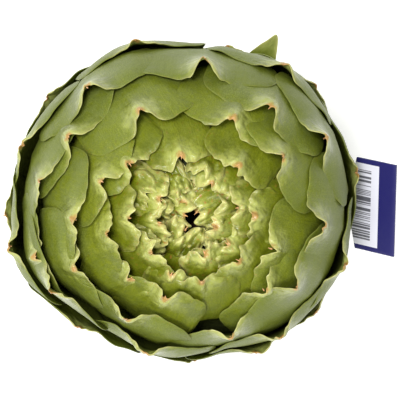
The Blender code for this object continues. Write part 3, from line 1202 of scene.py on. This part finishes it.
    def extra(self, number: int, azimuth: float, polar: float, half: float, finer: random.Random) -> Bract:
        """A small bract between the others.

        Args:
            number: Its number.
            azimuth: The degrees round the head.
            polar: The degrees down from the crown.
            half: Its half width.
            finer: The draws for it.

        Returns:
            The bract.
        """
        length = self.extra_length_share * half
        return Bract(
            self.globe,
            number,
            math.radians(azimuth),
            math.radians(polar),
            half,
            length,
            notch=0.0006 + 0.06 * half,
            fold=0.0010,
            flare=0.0020 if polar > 40 else 0.0010,
            lean=math.radians(finer.uniform(-9, 9)),
            arch=0.6 * half,
            seed=11.3 * number,
            notch_width=0.0008 + 0.08 * half,
            curl_reach=0.6 * length,
            puffing=float(bell(math.radians(polar), self.puffed_spread)),
            spined=half > self.least_spined_half,
        )


@dataclass(frozen=True)
class Head:
    """The flower head: every bract as its own sheet, and the bud behind them."""

    spiral: Spiral = Spiral()
    finish: BractFinish = BractFinish()
    heart_finish: HeartFinish = HeartFinish()
    thickness: float = 0.0011
    margin_thickness_share: float = 0.28
    margin_reach: float = 0.003
    grid: tuple[int, int] = (58, 14)
    small_grid: tuple[int, int] = (36, 15)
    small_half: float = 0.014
    column_power: float = 1.7
    row_power: float = 1.6
    uv_unit: float = 0.06
    full_age: float = math.radians(95)
    spineless_gap: float = 0.0016
    thorn_length: float = 0.0019
    thorn_radius: float = 0.00034
    thorn_bend: float = 0.0005
    thorn_point: float = 0.12
    thorn_rise: float = 0.25
    thorn_sink: float = 0.45
    thorn_reach: float = 0.28
    heart_depth: float = 0.0050
    heart_base_depth: float = 0.0055
    heart_hollow: float = 0.010
    heart_hollow_spread: float = math.radians(7)
    heart_clearance: float = 0.0002

    def build(self) -> None:
        """Builds the heart and all bracts."""
        self.add_heart()
        skin = self.finish.material()
        for bract in self.spiral.bracts():
            dress(self.add_bract(bract), skin, "bract_green", "head")

    def add_heart(self) -> None:
        """Adds the bud behind the bracts, a ball drawn in to the globe's form."""
        globe = self.spiral.globe
        ball = bpy.ops.mesh.primitive_uv_sphere_add
        heart = added("bud_heart", ball, segments=96, ring_count=64, radius=globe.radius)
        polar, azimuth = angles(get_points(heart) / globe.radius)
        base = ramp(math.radians(95), math.radians(140), polar)
        depth = self.heart_depth * (1 + globe.loose_gain * globe.looseness(azimuth))
        depth = depth + (self.heart_base_depth - depth) * base
        depth = depth + self.heart_hollow * bell(polar, self.heart_hollow_spread)
        placed = globe.place(polar, azimuth, globe.surface(polar, azimuth) - depth)
        placed[:, 2] = np.maximum(placed[:, 2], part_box("head")[0].z + self.heart_clearance)
        set_points(heart, placed)
        shade(heart)
        dress(heart, self.heart_finish.material(), "bract_green", "head")

    def add_bract(self, bract: Bract) -> Piece:
        """One bract: a flat sheet drawn to its outline, laid on its shell, thickened and rounded.

        Args:
            bract: Its place and form.

        Returns:
            The piece.
        """
        columns, rows = self.small_grid if bract.half_width < self.small_half else self.grid
        grid = bpy.ops.mesh.primitive_grid_add
        name = f"bract_{bract.index:02d}"
        sheet = added(name, grid, x_subdivisions=columns, y_subdivisions=rows, size=2.0)
        square = get_points(sheet)
        column = np.sign(square[:, 0]) * np.abs(square[:, 0]) ** self.column_power
        row = ((1 - square[:, 1]) / 2) ** self.row_power
        flat = bract.laid_flat(column, row)
        set_points(sheet, bract.surface(flat))
        from_thorn = np.hypot(flat.across - bract.shift, flat.along)
        store(
            sheet,
            rim=flat.rim,
            thorn=from_thorn + (0.0 if bract.spined else self.spineless_gap),
            age=min(1.0, bract.polar / self.full_age),
            tint=bract.seed / 100,
            puff=bract.puffs(flat),
        )
        set_uv(sheet, np.stack([flat.across / self.uv_unit + 0.5, flat.along / self.uv_unit], axis=-1))

        group = sheet.vertex_groups.new(name="body")
        for number, weight in enumerate(ramp(0.0, self.margin_reach, flat.rim)):
            group.add([number], float(weight), "REPLACE")
        thinning = {"vertex_group": "body", "thickness_vertex_group": self.margin_thickness_share}
        apply_modifier(sheet, "SOLIDIFY", thickness=self.thickness, offset=-1.0, **thinning)
        apply_modifier(sheet, "SUBSURF", levels=1, render_levels=1)
        sheet.vertex_groups.clear()
        if bract.spined:
            self.add_thorn(bract, sheet)
        shade(sheet)
        return sheet

    def add_thorn(self, bract: Bract, sheet: Piece) -> None:
        """Adds the small spine in the notch, a bent cone joined to its bract.

        Args:
            bract: The bract.
            sheet: Its piece.
        """
        ends = np.array([0.0004, 0.0030])  # two places down the bract's middle that the spine points along
        line = bract.surface(Flat(np.full(2, bract.shift), ends, ends, np.zeros(2)))
        tip, root = Vector(line[0]), Vector(line[1])
        outward = (tip - Vector((0, 0, bract.globe.widest_z))).normalized()
        direction = ((tip - root).normalized() + self.thorn_rise * outward).normalized()
        radii = {"radius1": self.thorn_radius, "radius2": self.thorn_radius * self.thorn_point}
        cone = added("thorn", bpy.ops.mesh.primitive_cone_add, vertices=10, depth=self.thorn_length, **radii)
        bpy.ops.object.mode_set(mode="EDIT")
        bpy.ops.mesh.select_all(action="SELECT")
        bpy.ops.mesh.subdivide(number_cuts=3)
        bpy.ops.object.mode_set(mode="OBJECT")
        points = get_points(cone)
        rise = points[:, 2] / self.thorn_length + 0.5
        points[:, 0] += self.thorn_bend * rise**2 * math.sin(bract.seed)
        set_points(cone, points)
        turned = Vector((0, 0, 1)).rotation_difference(direction).to_matrix().to_4x4()
        inwards = self.thorn_sink * self.thickness * outward
        middle = tip - inwards + direction * self.thorn_length * self.thorn_reach
        cone.data.transform(Matrix.Translation(middle) @ turned)
        store(cone, rim=0.01, thorn=-1.0, age=0.0, puff=1.0, tint=bract.seed / 100)
        set_uv(cone, np.zeros((len(cone.data.vertices), 2)))
        pick(cone, sheet)
        bpy.ops.object.join()


# -- The stem and the tag


@dataclass(frozen=True)
class Stem:
    """The stub of the stalk, ribbed, with its cut face on the surface it stands on."""

    ribs: int = 11
    rib_height: float = 0.0005
    reach_into_head: float = 0.004
    sides: int = 132
    face_rings: tuple[float, ...] = (0.0007, 0.0012, 0.003, 0.004)
    worn_edge: float = 0.0006
    finish: StemFinish = StemFinish()

    def build(self) -> None:
        """Builds the stalk from a cylinder of the solid's own size."""
        low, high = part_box("stem")
        radius = (high.x - low.x) / 2 - self.rib_height
        depth = high.z - low.z + self.reach_into_head
        cylinder = bpy.ops.mesh.primitive_cylinder_add
        middle = (0, 0, low.z + depth / 2)
        stalk = added("stalk", cylinder, vertices=self.sides, radius=radius, depth=depth, location=middle)
        bpy.ops.object.transform_apply(location=True)
        self.add_face_rings(stalk)
        apply_modifier(stalk, "SUBSURF", subdivision_type="SIMPLE", levels=1, render_levels=1)
        points = get_points(stalk)
        around = np.arctan2(points[:, 1], points[:, 0])
        rise = (points[:, 2] - low.z) / depth
        flat = np.hypot(points[:, 0], points[:, 1])
        outwards = np.clip(flat / radius, 0, 1) ** 4
        ribbed = 1 + self.rib_height / radius * np.cos(self.ribs * around) * outwards
        worn = 1 - self.worn_edge / radius * bell(rise, 0.05) * (flat > 0.96 * radius)
        points[:, :2] *= (ribbed * worn)[:, None]
        set_points(stalk, points)
        shade(stalk, Shade.BY_ANGLE)
        dress(stalk, self.finish.material(radius), "stem_green", "stem")

    def add_face_rings(self, stalk: Piece) -> None:
        """Insets both end faces ring by ring, so that they can be shaped.

        Args:
            stalk: The stalk's cylinder.
        """
        bpy.ops.object.mode_set(mode="EDIT")
        bpy.ops.mesh.select_all(action="DESELECT")
        bpy.ops.mesh.select_mode(type="FACE")
        bpy.ops.object.mode_set(mode="OBJECT")
        for face in stalk.data.polygons:
            face.select = abs(face.normal.z) > 0.9
        bpy.ops.object.mode_set(mode="EDIT")
        for width in self.face_rings:
            bpy.ops.mesh.inset(thickness=width, depth=0.0)
        bpy.ops.object.mode_set(mode="OBJECT")


@dataclass(frozen=True)
class ProduceTag:
    """A plastic card on a stake that is tucked in between two bracts."""

    spiral: Spiral
    inner_bract: int = 44
    thickness: float = 0.0006
    card_width: float = 0.034
    card_length: float = 0.0155
    card_end: Triple = (0.0733, -0.0028, 0.0590)
    card_turn: float = math.radians(-11)
    card_rise: float = math.radians(35)
    card_roll: float = math.radians(21)
    card_steps: int = 8
    stake_width: float = 0.0065
    stake_length: float = 0.011
    stake_across: float = 0.0045
    stake_taper: float = 0.8
    shoulder: float = 0.003
    shoulder_steps: int = 4
    neck_reach: float = 0.0035
    neck_steps: int = 12
    stake_steps: int = 6
    columns: int = 24
    bract_thickness: float = 0.0007
    bract_cup: float = 0.0010
    bevel_width: float = 0.00012
    finish: TagFinish = TagFinish()

    def stake_line(self) -> tuple[list[Vector], Vector]:
        """The stake's middle line between its two bracts.

        Returns:
            Its places from the top down, and its sideways direction.
        """
        globe = self.spiral.globe
        plan = {bract.index: bract for bract in self.spiral.bracts()}
        outer, inner = plan[self.spiral.stake_bract], plan[self.inner_bract]
        azimuth = outer.azimuth + self.stake_across / globe.radius
        run = np.linspace(0, self.stake_length, self.stake_steps + 1)
        polar = outer.polar + run / globe.radius
        depth = self.bract_thickness - outer.stand_off + globe.sink(outer.polar, run, azimuth)
        depth = depth + globe.sink(inner.polar, globe.radius * (polar - inner.polar), azimuth)
        distance = globe.surface(polar, azimuth) - depth / 2 + self.bract_cup
        line = [Vector(place) for place in globe.place(polar, azimuth, distance)]
        return line, Vector((-math.sin(azimuth), math.cos(azimuth), 0))

    def stations(self) -> list[tuple[Vector, Vector, float]]:
        """The middle line from the card's far edge to the stake's point.

        Returns:
            A place, a sideways direction and a half width for each station.
        """
        along = Vector((math.cos(self.card_turn), math.sin(self.card_turn), math.tan(self.card_rise)))
        along.normalize()
        level = Vector((-math.sin(self.card_turn), math.cos(self.card_turn), 0))
        side = math.cos(self.card_roll) * level + math.sin(self.card_roll) * along.cross(level)
        place = Vector(self.card_end)
        made = [(place, side, self.card_width / 2)]
        for _ in range(self.card_steps):
            place = place - self.card_length / self.card_steps * along
            made.append((place, side, self.card_width / 2))
        for step in range(1, self.shoulder_steps + 1):
            share = step / self.shoulder_steps
            width = self.card_width + (self.stake_width - self.card_width) * share
            made.append((place - self.shoulder * share * along, side, width / 2))

        shoulder = made[-1][0]
        stake, flat = self.stake_line()
        inwards = shoulder - self.neck_reach * along
        upwards = stake[0] + self.neck_reach * (stake[0] - stake[1]).normalized()
        neck = interpolate_bezier(shoulder, inwards, upwards, stake[0], self.neck_steps + 1)
        for step in range(1, self.neck_steps + 1):
            turned = side.lerp(flat, step / self.neck_steps).normalized()
            made.append((neck[step], turned, self.stake_width / 2))
        for step in range(1, self.stake_steps + 1):
            taper = 1 - self.stake_taper * float(ramp(1 / 3, 1, step / self.stake_steps))
            made.append((stake[step], flat, self.stake_width / 2 * taper))
        return made

    def build(self) -> None:
        """Builds the card and its stake from one strip."""
        stations = self.stations()
        rows = len(stations) - 1
        grid = bpy.ops.mesh.primitive_grid_add
        tag = added("produce_tag_printed", grid, x_subdivisions=self.columns, y_subdivisions=rows, size=2.0)
        square = get_points(tag)
        travelled = [0.0]
        for (here, *_), (after, *_) in zip(stations, stations[1:]):
            travelled.append(travelled[-1] + (after - here).length)
        flat = np.empty((len(square), 2))
        for number, (x, y, _) in enumerate(square):
            step = round((1 - y) / 2 * rows)
            middle, side, half = stations[step]
            square[number] = middle + side * half * x
            flat[number] = (half * x, travelled[step])
        set_points(tag, square)
        set_uv(tag, flat * self.finish.uv_per_metre)
        apply_modifier(tag, "SOLIDIFY", thickness=self.thickness, offset=0.0)
        corners = {"limit_method": "ANGLE", "angle_limit": math.radians(50)}
        apply_modifier(tag, "BEVEL", width=self.bevel_width, segments=2, **corners)
        shade(tag, Shade.BY_ANGLE)
        dress(tag, self.finish.material(), "tag_plastic", "produce_tag")


# -- The studio


@dataclass(frozen=True)
class Studio:
    """A pale floor, soft light, and a camera that looks down on the crown."""

    camera_distance: float = 0.70
    frame_width: float = 0.137334
    lean_left: float = math.radians(3.24)
    lean_back: float = math.radians(4.39)
    look_at: Triple = (0.0060, 0.0013, 0.057)
    sensor: float = 36.0
    surround: float = 0.5
    floor_glow: float = 0.3
    lights: tuple[tuple[str, Triple, float, float], ...] = (  # name, place, size and power
        ("soft_top", (-0.3, 0.3, 1.1), 0.35, 10.0),
        ("soft_side", (-0.25, -0.55, 1.05), 0.5, 7.5),
    )

    def build(self) -> None:
        """Builds the floor, the lights and the camera."""
        self.add_floor()
        self.add_lights()
        self.add_camera()

    def add_floor(self) -> None:
        """A wide pale floor."""
        floor = added("floor", bpy.ops.mesh.primitive_plane_add, size=6.0)
        shader = Shader("pale_floor")
        grain = shader.noise(shader.object_place(), 30.0)
        colour = shader.layered(rgb(250, 250, 250), (grain, rgb(252, 252, 252)))
        glow = {"Emission_Color": (1.0, 1.0, 1.0, 1.0), "Emission_Strength": self.floor_glow}
        floor.data.materials.append(shader.finish(Base_Color=colour, Roughness=0.9, **glow))

    def add_lights(self) -> None:
        """An even white surround, a soft light above, and a weaker one at the side."""
        world = bpy.data.worlds.new("surround")
        bpy.context.scene.world = world
        world.use_nodes = True
        background = world.node_tree.nodes["Background"]
        background.inputs["Color"].default_value = (1.0, 1.0, 1.0, 1.0)
        background.inputs["Strength"].default_value = self.surround
        for name, place, size, power in self.lights:
            light = bpy.data.lights.new(name, "AREA")
            light.size = size
            light.energy = power
            lamp = bpy.data.objects.new(name, light)
            lamp.location = place
            lamp.rotation_euler = (Vector(place) - Vector(self.look_at)).to_track_quat("Z", "Y").to_euler()
            bpy.context.scene.collection.objects.link(lamp)

    def add_camera(self) -> None:
        """A long lens above the crown, leaning a little back and to the left."""
        toward = Vector((-math.tan(self.lean_left), math.tan(self.lean_back), 1.0)).normalized()
        lens = bpy.data.cameras.new("camera")
        lens.sensor_width = self.sensor
        lens.lens = self.sensor * self.camera_distance / self.frame_width
        camera = bpy.data.objects.new("camera", lens)
        right = Vector((0, 1, 0)).cross(toward).normalized()
        turned = Matrix((right, toward.cross(right), toward)).transposed().to_4x4()
        place = Vector(self.look_at) + self.camera_distance * toward
        camera.matrix_world = Matrix.Translation(place) @ turned
        bpy.context.scene.collection.objects.link(camera)
        bpy.context.scene.camera = camera
        bpy.context.scene.view_settings.view_transform = "Standard"


def main() -> None:
    """Loads the frame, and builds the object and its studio."""
    logging.basicConfig(level=logging.INFO, format="%(message)s")
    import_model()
    Studio().build()
    head = Head()
    head.build()
    Stem().build()
    ProduceTag(head.spiral).build()


if __name__ == "__main__":
    main()
